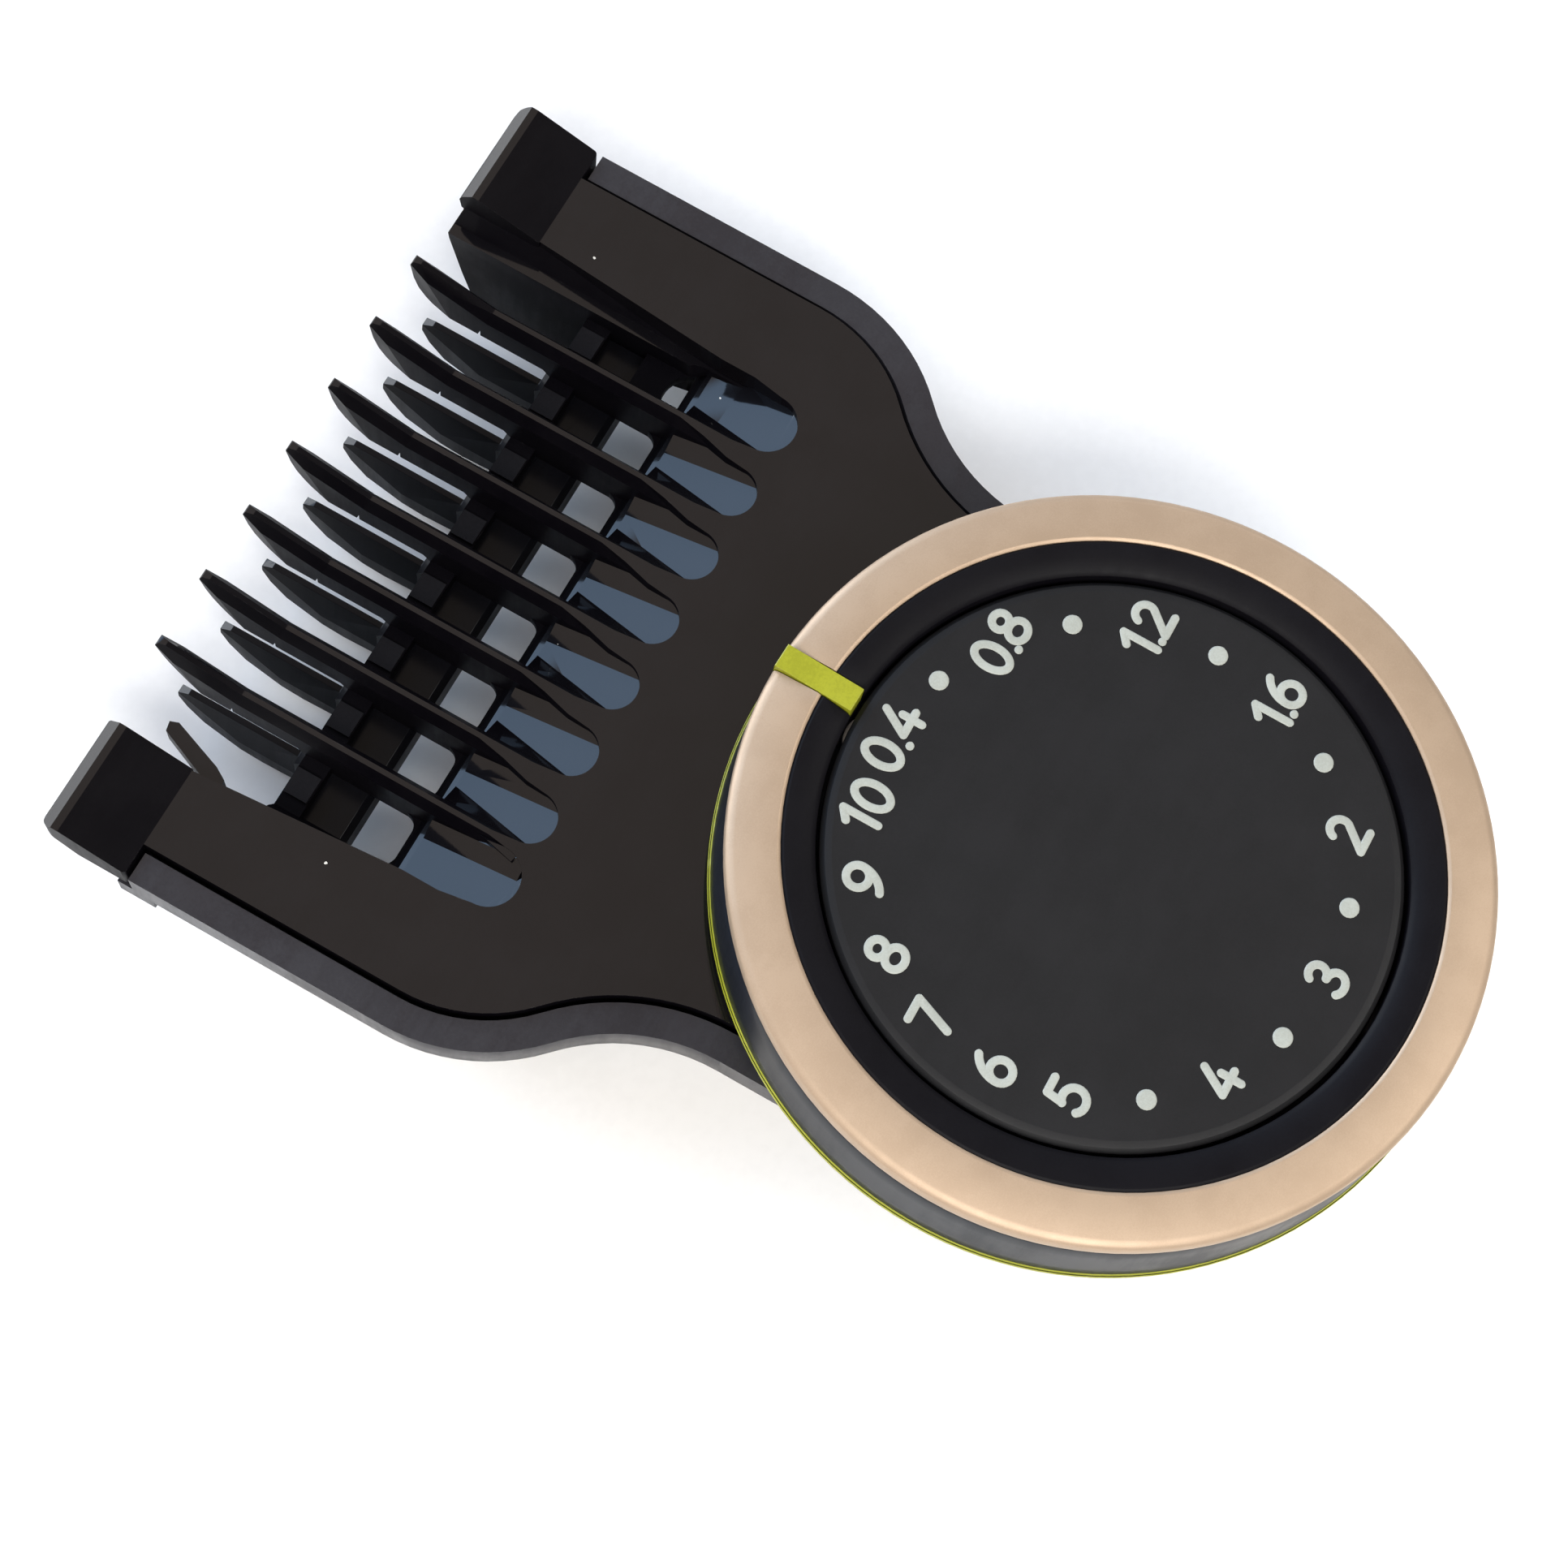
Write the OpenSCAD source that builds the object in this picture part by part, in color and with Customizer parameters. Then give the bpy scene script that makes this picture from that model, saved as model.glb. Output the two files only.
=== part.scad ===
// Guard comb for a trimmer head, with a length dial.
// Origin on the dial axis at the flat back face, +Y toward the teeth, +Z out of the dial.

/* [Frame] */
// Width over the two rails of the frame
head_w = 41; // [38:0.2:46]
// Width of the neck of the frame
neck_w = 29.2; // [26:0.2:32]
// Distance from the dial axis where the neck starts to widen
neck_y = 10.5; // [9:0.5:12]
// Distance from the dial axis where the rails become straight
head_y = 24; // [22:0.5:26]
// Distance from the dial axis to the front ends of the rails
frame_front = 36.7; // [34:0.1:40]
// Width of the visible rim of the frame
rim_w = 1.4; // [1:0.1:2]
// Gap between the rim and the comb plate
parting = 0.25; // [0.2:0.05:0.4]
// Radius of the frame under the dial
hub_r = 15.4; // [15:0.1:16]
// Thickness of the deck and the cover
deck_t = 1.2; // [1:0.1:1.6]

/* [Comb] */
// Height of the comb plate above the back face
plate_top = 8.5; // [8:0.1:11]
// Thickness of the comb plate
plate_t = 1.4; // [1:0.1:1.8]
// Spacing of the fins
pitch = 3.6; // [3.2:0.1:3.8]
// Distance from the dial axis to the rounded slot ends
slot_y = 21.9; // [20:0.1:24]
// Distance from the slot ends to the bend in front
bend_run = 15; // [13:0.5:17]
// Reach of the tips beyond the bend
tip_run = 4.3; // [3:0.1:6]
// Height the tips rise above the plate
tip_rise = 1.05; // [0.5:0.05:2]
// Width of the flat ridge on each fin
ridge_w = 0.24; // [0.16:0.02:0.6]
// Thickness of each fin below its ridge
fin_t = 0.9; // [0.7:0.05:1.2]
// Depth of the fins below the plate surface
fin_h = 3.3; // [2.8:0.1:4]
// Half width of the opening between the arms at the bend
arm_in = 15.05; // [14.5:0.05:16]
// Reach of the end caps beyond the rail width
cap_w = 5.35; // [4:0.05:6]

/* [Claws] */
// Height of the opening for the blade
mouth_h = 2.7; // [2.2:0.1:3.2]
// Distance the claw tips lie below the plate surface
claw_drop = 5.3; // [4.5:0.1:6]
// Thickness of each claw
claw_t = 1.1; // [0.8:0.1:1.5]
// Diameter of the stakes that hold the claw rack
stake_d = 0.9; // [0.7:0.1:1.2]

/* [Dial] */
// Outer radius of the metal trim ring
dial_r = 16.6; // [16:0.1:16.8]
// Radial width of the trim ring
trim_w = 2.35; // [1.6:0.05:2.6]
// Height of the trim ring above the comb plate at its outer edge
dial_h = 6.6; // [6:0.1:8]
// Radius of the number disc
disc_r = 12.55; // [11:0.05:12.7]
// Radius of the coloured marker ring
flange_r = 17; // [16.6:0.1:17.6]
// Width of the marker bar
marker_w = 1.15; // [0.8:0.05:1.6]
// Diameter of the hub post
post_d = 5.2; // [4.6:0.1:5.4]
// Radial clearance of the knob on the hub post
post_fit = 0.05; // [0.02:0.01:0.1]
// Number of click positions
clicks = 20; // [12:1:24]

/* [Length cam] */
// Travel of the comb over the whole dial
travel = 9.6; // [6:0.2:9.6]
// Dial angle from the first to the last position
dial_turn = 342; // [270:18:342]
// Distance from the dial axis to the follower at the shortest setting
cam_start = 4.6; // [4.5:0.1:5]
// Diameter of the follower roller
roller_d = 1.9; // [1.6:0.1:2]
// Diameter of the follower pin
pin_d = 1.3; // [1:0.1:1.4]
// Side clearance of the roller in its groove
groove_fit = 0.2; // [0.1:0.05:0.3]

/* [Hidden] */
$fn = 72;
eps = 0.01;
curve_dx = (head_w - neck_w) / 2;
curve_dy = head_y - neck_y;
curve_a = 2 * atan(curve_dx / curve_dy);
curve_r = curve_dy / (2 * sin(curve_a));
plate_in = rim_w + parting;
plate_z = plate_top - plate_t;
bend_y = slot_y + bend_run;
slot_r = 1.25;
ramp_run = 5.1;
ramp_h = 2.05;
ramp_step = 0.28;
ramp_a = atan((ramp_h - ramp_step) / ramp_run);
tip_y = bend_y + tip_run;
rise_a = atan(tip_rise / (tip_run - 0.5));
fin_half = pitch * 3;
hollow_x = pitch * 3.5;
fin_z = plate_top - fin_h;
rib_y = bend_y - 4.6;
beak_w = fin_t / 2;
beak_run = 3.5 * beak_w;
rib_l = 1.3;
rib_t = 0.8;
mouth_top = plate_top - 2.3;
mouth_bottom = mouth_top - mouth_h;
rack_z = fin_z - 1.6;
rack_y = rib_y - 2.2;
claw_y = rib_y + rib_l + 0.8;
wall_x = arm_in - 0.65;
deck_z = plate_z - 0.7 - deck_t;
rim_top = plate_top - 0.3;
rim_h = rim_top - deck_z - deck_t + 0.2;
marker_a = -2;
ledge_in = 17;
box_r = 13.4;
box_wall = 1.4;
cam_z = plate_top + 0.3;
cam_t = 2;
groove_d = 1.4;
web_z = cam_z + cam_t;
web_t = 1;
ring_z = plate_top + dial_h;
disc_top = ring_z - 0.2;
disc_t = 1.2;
bezel_r = disc_r + 0.2;
core_r = dial_r - 0.05;
trim_in = dial_r - trim_w;
trim_z = ring_z - 1.2;
flange_z = plate_top + 1.1;
flange_t = 0.5;
boss_z = web_z + web_t + 0.5;
notch_w = marker_w + 0.1;
upright_y = dial_r - 0.85;
flange_post_r = 6.5;
flange_post_t = 1.6;
shoe_x = 15.9;
shoe_l = 10;
clip_y = head_y - 0.4;
clip_x = 16.2;
screw_y = 8.5;
screw_x = 7.6;

// one side of the head outline, drawn inset by "i" from the edge of the rails
module half_plan(i, y_end) {
    translate([0, 0]) square([neck_w / 2 - i, head_y]);
    translate([head_w / 2 - curve_r, head_y]) circle(r = curve_r - i, $fn = 144);
    difference() {
        polygon([[0, neck_y], [neck_w / 2 + curve_r, neck_y], [head_w / 2 - curve_r, head_y], [0, head_y]]);
        translate([neck_w / 2 + curve_r, neck_y]) circle(r = curve_r + i, $fn = 144);
    }
    translate([0, head_y]) square([head_w / 2 - i, y_end - head_y]);
}

module head_plan(i, y_end) {
    intersection() {
        union() {
            half_plan(i, y_end);
            mirror([1, 0]) half_plan(i, y_end);
        }
        translate([-head_w, -1]) square([2 * head_w, y_end + 1]);
    }
}

module frame_plan(i, y_end) {
    head_plan(i, y_end);
    circle(r = hub_r - i);
}

module box_plan(i) {
    circle(r = box_r - i);
    translate([i - 12.2, 0]) square([24.4 - 2 * i, 15.5 - i]);
}

// four screw places in the cover
module cover_places() {
    for (x = [-screw_x, screw_x]) {
        translate([x, screw_y, 0]) children();
        translate([x, 2 - screw_y, 0]) children();
    }
}

// places spread evenly around the dial axis
module around(n, r) {
    for (k = [0 : n - 1]) rotate([0, 0, k * 360 / n + 30]) translate([r, 0, 0]) children();
}

// a bar along x from a side outline drawn in y and z
module bar_x(x0, x1) {
    translate([x0, 0, 0]) rotate([90, 0, 90]) linear_extrude(height = x1 - x0) children();
}

module base_frame() {
    color("#2e2e33") difference() {
        union() {
            // rim around the comb plate
            translate([0, 0, rim_top - rim_h]) linear_extrude(height = rim_h) difference() {
                frame_plan(0, frame_front);
                frame_plan(rim_w, frame_front + 1);
                translate([-head_w, frame_front]) square([2 * head_w, 5]);
            }
            // deck under the neck and the dial
            translate([0, 0, deck_z]) linear_extrude(height = deck_t) intersection() {
                frame_plan(0.9, frame_front);
                translate([-head_w, -hub_r]) square([2 * head_w, hub_r + 18]);
            }
            // ledges that carry the arms
            translate([0, 0, deck_z]) linear_extrude(height = deck_t) difference() {
                frame_plan(0.9, frame_front);
                translate([-ledge_in, clip_y]) square([2 * ledge_in, 40]);
                translate([-clip_x, -hub_r]) square([2 * clip_x, hub_r + clip_y + 1]);
                translate([-head_w, -hub_r]) square([2 * head_w, hub_r + 17]);
            }
            // tongues under the end caps
            for (s = [0, 1]) mirror([s, 0, 0]) translate([ledge_in, frame_front - 1, deck_z])
                cube([head_w / 2 - 0.02 - ledge_in, 1.8, deck_t + 0.1]);
            // side skirts beside the trimmer head
            translate([0, 0, 1.6]) linear_extrude(height = deck_z - 1.6 + eps) intersection() {
                difference() {
                    head_plan(1.2, 34);
                    head_plan(2.6, 35);
                }
                translate([-head_w, 13]) square([2 * head_w, 21]);
            }
            // box under the dial
            linear_extrude(height = deck_z + eps) difference() {
                box_plan(0);
                box_plan(box_wall);
            }
            // shoulder that the cover rests on
            translate([0, 0, deck_t]) linear_extrude(height = 0.8) difference() {
                box_plan(box_wall - 0.1);
                box_plan(box_wall + 0.9);
            }
            translate([0, 0, deck_t]) cover_places() cylinder(r = 1.9, h = deck_z - deck_t + eps);
        }
        translate([0, 0, -1]) cover_places() cylinder(d = 1.6, h = deck_z);
        translate([0, 0, deck_z - 1]) cylinder(d = post_d + 0.02, h = deck_t + 2);
        translate([0, 0, deck_z - 1]) around(3, 4.6) cylinder(d = 1.2, h = deck_t + 0.6);
    }
}

module rear_cover() {
    color("#26262b") difference() {
        union() {
            linear_extrude(height = deck_t) box_plan(box_wall + 0.1);
            // low ribs that stiffen the cover
            for (x = [-5, 5]) translate([x - 0.4, -6, deck_t - eps]) cube([0.8, 16, 0.8]);
        }
        translate([0, 0, -1]) cover_places() cylinder(d = 1.7, h = 4);
        translate([0, 0, -eps]) cover_places() cylinder(r = 1.6, h = 0.6);
        // thumb recess
        translate([0, 12, -6.6]) sphere(r = 7.2);
    }
}

module rear_screws() {
    color("#8d8f94") cover_places() difference() {
        union() {
            translate([0, 0, 0.1]) cylinder(r = 1.45, h = 0.5 - eps);
            translate([0, 0, 0.3]) cylinder(d = 1.5, h = 3.4);
        }
        translate([0, 0, 0]) cross_recess();
    }
}

module cross_recess() {
    translate([-0.9, -0.15, -0.1]) cube([1.8, 0.3, 0.45]);
    translate([-0.15, -0.9, -0.1]) cube([0.3, 1.8, 0.45]);
}

module hub_post() {
    color("#c9cacf") difference() {
        union() {
            translate([0, 0, deck_z - flange_post_t]) cylinder(r = flange_post_r, h = flange_post_t);
            translate([0, 0, deck_z - 0.5]) cylinder(d = post_d, h = boss_z - deck_z + 0.5);
            // square key that holds the number disc
            translate([-1.5, -1.5, boss_z - eps]) cube([3, 3, 0.9]);
        }
        translate([0, 0, deck_z - 3]) cylinder(d = 1.6, h = 20);
        translate([0, 0, deck_z - flange_post_t - eps]) cylinder(d = 3, h = 1.1);
        translate([0, 0, deck_z - 3]) around(3, 4.6) cylinder(d = 1.4, h = 6);
    }
}

module hub_screws() {
    color("#8d8f94") around(3, 4.6) difference() {
        union() {
            translate([0, 0, deck_z - flange_post_t - 0.6]) cylinder(r = 1.1, h = 0.6);
            translate([0, 0, deck_z - flange_post_t - 0.1]) cylinder(d = 1.2, h = flange_post_t + 0.6);
        }
        translate([-0.7, -0.12, deck_z - flange_post_t - 0.7]) cube([1.4, 0.24, 0.4]);
    }
}

module thrust_washer() {
    color("#d9d9d4") translate([0, 0, boss_z - 0.3]) difference() {
        cylinder(r = 4.2, h = 0.3);
        translate([0, 0, -1]) cylinder(d = post_d + 0.02, h = 3);
    }
}

module number_disc() {
    color("#3a3a40") difference() {
        union() {
            rotate_extrude($fn = 144) polygon([[0, disc_top - disc_t], [disc_r - 0.1, disc_top - disc_t],
                [disc_r, disc_top - disc_t + 0.2], [disc_r, disc_top - 0.25], [disc_r - 0.2, disc_top - 0.05],
                [disc_r - 0.5, disc_top], [0, disc_top]]);
            translate([0, 0, boss_z]) cylinder(r = 3.9, h = disc_top - disc_t - boss_z + eps);
        }
        translate([-1.5, -1.5, boss_z - 1]) cube([3, 3, 1.9]);
        translate([0, 0, boss_z - 1]) cylinder(d = 1.2, h = disc_top - boss_z + 0.6);
    }
}

module disc_screw() {
    color("#8d8f94") difference() {
        union() {
            translate([0, 0, deck_z - flange_post_t + 0.1]) cylinder(d = 2.7, h = 1 - 0.01);
            translate([0, 0, deck_z - flange_post_t + 0.5]) cylinder(d = 1.2, h = boss_z - deck_z + 2.4);
        }
        translate([0, 0, deck_z - flange_post_t + 0.1]) cross_recess();
    }
}

module click_spring() {
    spring_r = 10.4;
    color("#b9bcc2") translate([0, 0, boss_z + 0.1]) {
        difference() {
            union() {
                cylinder(r = 5.2, h = 0.3);
                // two arms and the ring that carries the noses
                for (a = [0, 180]) rotate([0, 0, a]) translate([4.6, -1.2, 0]) cube([spring_r - 4.4, 2.4, 0.3]);
                difference() {
                    cylinder(r = spring_r + 0.5, h = 0.3);
                    translate([0, 0, -1]) cylinder(r = spring_r - 0.5, h = 3);
                }
                for (a = [90, 270]) rotate([0, 0, a]) translate([spring_r + 1.1, 0, 0]) cylinder(r = 1.3, h = 0.3, $fn = 36);
            }
            translate([0, 0, -1]) cylinder(r = 3.92, h = 3);
        }
    }
}

// spring clip that hooks the side of the trimmer head, drawn on the +X side
module clip_body() {
    translate([clip_x, clip_y - 0.1, 0]) rotate([90, 0, 0]) linear_extrude(height = 2.5) polygon([[0.95, deck_z],
        [0.95, 1.8], [0.3, 0.3], [-0.5, 0.3], [-1, 0.9], [-0.3, 1.7], [0.15, 2.2], [0.15, deck_z]]);
}

module clip_left() {
    color("#c4c6c2") mirror([1, 0, 0]) clip_body();
}

module clip_right() {
    color("#c4c6c2") clip_body();
}

module knob_core() {
    color("#0f1013") difference() {
        union() {
            rotate_extrude($fn = 144) polygon([[post_d / 2 + post_fit, web_z], [15.6, web_z], [15.6, flange_z + flange_t],
                [flange_r - 0.12, flange_z + flange_t], [dial_r + 0.12, flange_z + flange_t + 1.6], [core_r, trim_z - 0.3],
                [core_r - 0.1, trim_z], [trim_in - 0.37, trim_z], [trim_in - 0.37, trim_z - 0.4], [12.9, trim_z - 0.4],
                [12.9, web_z + web_t], [post_d / 2 + post_fit, web_z + web_t]]);
        }
        // slot for the upright of the marker
        rotate([0, 0, marker_a]) translate([-notch_w / 2, upright_y - 0.3, flange_z]) cube([notch_w, 4, 10]);
        // click notches in the inner wall
        for (k = [0 : clicks - 1]) rotate([0, 0, 360 / clicks * k]) translate([12.75, 0, web_z + web_t + eps])
            cylinder(r = 0.5, h = 4, $fn = 24);
        translate([0, 0, web_z - 1]) around(3, 8.2) cylinder(d = 1.25, h = 4);
    }
}

module bezel_ring() {
    color("#1b1b1f") difference() {
        rotate_extrude($fn = 144) polygon([[bezel_r, trim_z - 0.4], [trim_in - 0.4, trim_z - 0.4],
            [trim_in - 0.4, trim_z], [trim_in, trim_z], [trim_in, ring_z + 0.2], [trim_in - 0.15, ring_z + 0.28],
            [bezel_r + 0.25, ring_z + 0.05], [bezel_r, ring_z - 0.15]]);
        rotate([0, 0, marker_a]) translate([-notch_w / 2, 11, trim_z - 0.1]) cube([notch_w, 5, 4]);
    }
}

module trim_ring() {
    color("#c9a98a") difference() {
        rotate_extrude($fn = 144) polygon([[trim_in, trim_z], [dial_r - 0.3, trim_z], [dial_r - 0.02, trim_z + 0.25],
            [dial_r, ring_z - 0.35], [dial_r - 0.06, ring_z - 0.15], [dial_r - 0.2, ring_z - 0.02],
            [dial_r - 0.45, ring_z + 0.06], [trim_in + 0.15, ring_z + 0.33], [trim_in, ring_z + 0.25]]);
        rotate([0, 0, marker_a]) translate([-notch_w / 2, 12, trim_z - 1]) cube([notch_w, 6, 5]);
    }
}

module marker_ring() {
    color("#a8b400") {
        translate([0, 0, flange_z]) difference() {
            union() {
                cylinder(r = flange_r - 0.1, h = flange_t, $fn = 144);
                translate([0, 0, 0.12]) cylinder(r = flange_r, h = flange_t - 0.24, $fn = 144);
            }
            translate([0, 0, -1]) cylinder(r = 15.65, h = 4, $fn = 144);
        }
        // upright through the knob wall, then the bar on the face
        rotate([0, 0, marker_a]) translate([-marker_w / 2, upright_y, flange_z + 0.1])
            cube([marker_w, dial_r - upright_y, trim_z - flange_z]);
        rotate([0, 0, marker_a]) translate([-marker_w / 2, bezel_r + 0.05, trim_z + 0.01])
            cube([marker_w, dial_r - bezel_r - 0.05, ring_z + 0.3 - trim_z]);
    }
}

// centre line of the cam groove at dial angle t
function cam_at(t, side) = (cam_start + travel * t / dial_turn + side) * [cos(90 + t), sin(90 + t)];

module cam_disc() {
    groove_r = roller_d / 2 + groove_fit;
    steps = 76;
    color("#d6d2c4") difference() {
        translate([0, 0, cam_z]) difference() {
            cylinder(r = 15.5, h = cam_t - eps, $fn = 144);
            translate([0, 0, -1]) cylinder(d = post_d + 0.3, h = cam_t + 2);
        }
        translate([0, 0, cam_z - 1]) linear_extrude(height = groove_d + 1) {
            polygon([for (k = [0 : steps]) cam_at(dial_turn * k / steps, groove_r),
                for (k = [steps : -1 : 0]) cam_at(dial_turn * k / steps, -groove_r)]);
            translate(cam_at(0, 0)) circle(r = groove_r, $fn = 36);
            translate(cam_at(dial_turn, 0)) circle(r = groove_r, $fn = 36);
        }
        translate([0, 0, cam_z + groove_d + 0.1]) around(3, 8.2) cylinder(d = 1.2, h = 4);
    }
}

module cam_screws() {
    color("#8d8f94") translate([0, 0, web_z]) around(3, 8.2) {
        translate([0, 0, -0.45]) cylinder(d = 1.2, h = web_t + 0.6);
        translate([0, 0, web_t]) cylinder(r = 1.05, h = 0.35);
    }
}

// outline of one slot between two fins, round at its end, nearly straight on the -X side
module slot_plan(x) {
    w = pitch / 2 - ridge_w / 2;
    translate([x - 0.3, slot_y + slot_r]) circle(r = slot_r, $fn = 48);
    translate([x, 0]) polygon([[-0.3 - slot_r, slot_y + slot_r], [slot_r - 0.3, slot_y + slot_r],
        [slot_r - 0.2, slot_y + 2.2], [slot_r + 0.17, slot_y + 3.6], [w, slot_y + 5], [w, bend_y + 1],
        [-w, bend_y + 1], [-w, slot_y + 2.4]]);
}

// cross section of a fin, ridge on top
module fin_section() {
    polygon([[-ridge_w / 2, 0], [ridge_w / 2, 0], [fin_t / 2, -0.7], [fin_t / 2, -8], [-fin_t / 2, -8], [-fin_t / 2, -0.7]]);
}

// side outline of a fin in y and z
module fin_side() {
    polygon([[slot_y + 1.5, plate_top], [bend_y, plate_top], [tip_y - 0.5, plate_top + tip_rise],
        [tip_y - 0.12, plate_top + tip_rise - 0.05], [tip_y, plate_top + tip_rise - 0.3],
        [tip_y, plate_top - 0.9], [tip_y - 0.2, mouth_top + 0.4], [tip_y - 0.6, mouth_top - 0.05],
        [tip_y - 1, mouth_top - 0.2], [tip_y - 2.1, mouth_top], [rib_y + rib_l + 0.4, mouth_top],
        [rib_y + rib_l, mouth_top - 0.4],
        [rib_y + rib_l, fin_z], [slot_y + 2.6, fin_z], [slot_y + 1.5, fin_z + 1]]);
}

module fin(x) {
    translate([x, 0, 0]) intersection() {
        union() {
            translate([0, bend_y + 0.5, plate_top]) rotate([90, 0, 0]) linear_extrude(height = bend_run) fin_section();
            translate([0, bend_y, plate_top]) rotate([90 + rise_a, 0, 0]) translate([0, 0, -tip_run - 2])
                linear_extrude(height = tip_run + 2) fin_section();
        }
        bar_x(-fin_t, fin_t) fin_side();
        // the beak narrows from further back toward its lower edge
        translate([0, tip_y - 0.6, plate_top + 1]) rotate([-25, 0, 0]) translate([0, 0, -20])
            linear_extrude(height = 24) polygon([[-beak_w - 0.2, -25], [beak_w + 0.2, -25],
                [beak_w + 0.2, -0.2 * beak_run / beak_w], [0, beak_run], [-beak_w - 0.2, -0.2 * beak_run / beak_w]]);
    }
}

// flared root of a fin on the sloping floor
module fin_root(x) {
    translate([x, 0, 0]) intersection() {
        translate([0, slot_y + ramp_run, plate_top - ramp_h]) rotate([90 - ramp_a, 0, 0]) {
            linear_extrude(height = 5.2)
                polygon([[-fin_t / 2 - 0.8, -0.05], [0, -0.05], [0, 0.5], [-fin_t / 2, 0.5], [-fin_t / 2 - 0.8, 0]]);
            translate([1.55, 0, 0]) rotate([0, -13.5, 0]) linear_extrude(height = 5)
                polygon([[0, -0.05], [0, 0], [-1.1, 1], [-1.1, -0.05]]);
        }
        bar_x(-1.3, 1.7) polygon([[slot_y + 0.3, plate_top - 0.03], [slot_y + ramp_run, plate_top - 0.03],
            [slot_y + ramp_run, plate_top - 2.6], [slot_y + 0.3, plate_top - 1.2]]);
    }
}

// sloping inner face below the edge of an arm, on the +X side
module arm_web(y1) {
    translate([0, y1, plate_top]) rotate([90, 0, 0]) linear_extrude(height = y1 - slot_y - 2)
        polygon([[arm_in + 0.1, -0.1], [wall_x - 0.1, -1.6], [wall_x - 0.6, -2.8], [wall_x - 0.6, -fin_h],
            [wall_x + 0.1, -fin_h], [wall_x + 0.1, -1.9], [arm_in + 0.5, -plate_t], [arm_in + 0.5, -0.1]]);
}

// round hollow beside the last fin on the +X side
module hollow_plan() {
    translate([hollow_x, slot_y + 5.4]) circle(r = 1.45, $fn = 48);
    translate([hollow_x - 1.45, slot_y]) square([2.9, 5.4]);
}

// full height wall with a nose in front, on the +X side only
module nose_wall() {
    difference() {
        nose_wall_solid();
        translate([0, 0, fin_z - 1]) linear_extrude(height = fin_h + 2) hollow_plan();
    }
}

module nose_wall_solid() {
    intersection() {
        union() {
            arm_web(tip_y + 1);
            bar_x(wall_x - 0.6, wall_x + 0.1) translate([slot_y, 0]) square([25, plate_top - 1.5]);
        }
        bar_x(wall_x - 1, arm_in + 1) polygon([[slot_y + 2, plate_top], [bend_y + 1.3, plate_top],
            [tip_y - 0.8, plate_top + 0.1], [tip_y - 0.25, plate_top - 0.6], [tip_y, plate_top - 1.5],
            [tip_y - 0.05, plate_top - 2], [tip_y - 0.7, plate_top - 5], [tip_y - 1.3, plate_top - 7.3],
            [bend_y + 1, plate_top - 7.9], [rib_y + 1, plate_top - 7.7], [rib_y - 3, rack_z], [slot_y + 2, fin_z + 0.6]]);
    }
}

// small inward hook in place of that wall, on the -X side
module side_hook() {
    translate([0, 0, plate_top - 2.1]) linear_extrude(height = 1.2) polygon([[-arm_in - 0.2, bend_y - 1.4],
        [0.6 - arm_in, bend_y - 1.2], [0.95 - arm_in, bend_y - 0.6], [1.85 - arm_in, bend_y + 1.9],
        [1.7 - arm_in, bend_y + 2.3], [1.25 - arm_in, bend_y + 2.2], [0.3 - arm_in, bend_y - 0.1],
        [-arm_in - 0.2, bend_y - 0.5]]);
}

// raised cap at the end of an arm, on the +X side
module arm_cap() {
    intersection() {
        bar_x(arm_in - 0.35, arm_in + cap_w) polygon([[bend_y, plate_top - 1.7], [bend_y, plate_top],
            [tip_y - 1.05, plate_top + 0.92], [tip_y - 0.7, plate_top + 0.94], [tip_y - 0.15, plate_top + 0.4],
            [tip_y, plate_top + 0.05], [tip_y - 0.1, plate_top - 0.6], [bend_y + 2.6, plate_top - 1.7]]);
        translate([0, 0, plate_z - 2]) linear_extrude(height = 8) cap_plan();
    }
}

module cap_plan() {
    cap_x = arm_in + cap_w;
    corner_r = 0.6;
    edge_r = 0.2;
    translate([arm_in - 0.15, bend_y - 1]) square([cap_w + 0.15 - corner_r, tip_run + 1]);
    translate([arm_in, bend_y + edge_r]) square([cap_w, tip_run - edge_r - corner_r]);
    translate([cap_x - corner_r, tip_y - corner_r]) circle(r = corner_r, $fn = 48);
    translate([cap_x - edge_r, bend_y + edge_r]) circle(r = edge_r, $fn = 32);
    translate([cap_x - 1.6, bend_y]) square([1.6 - edge_r, 1]);
}

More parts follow.
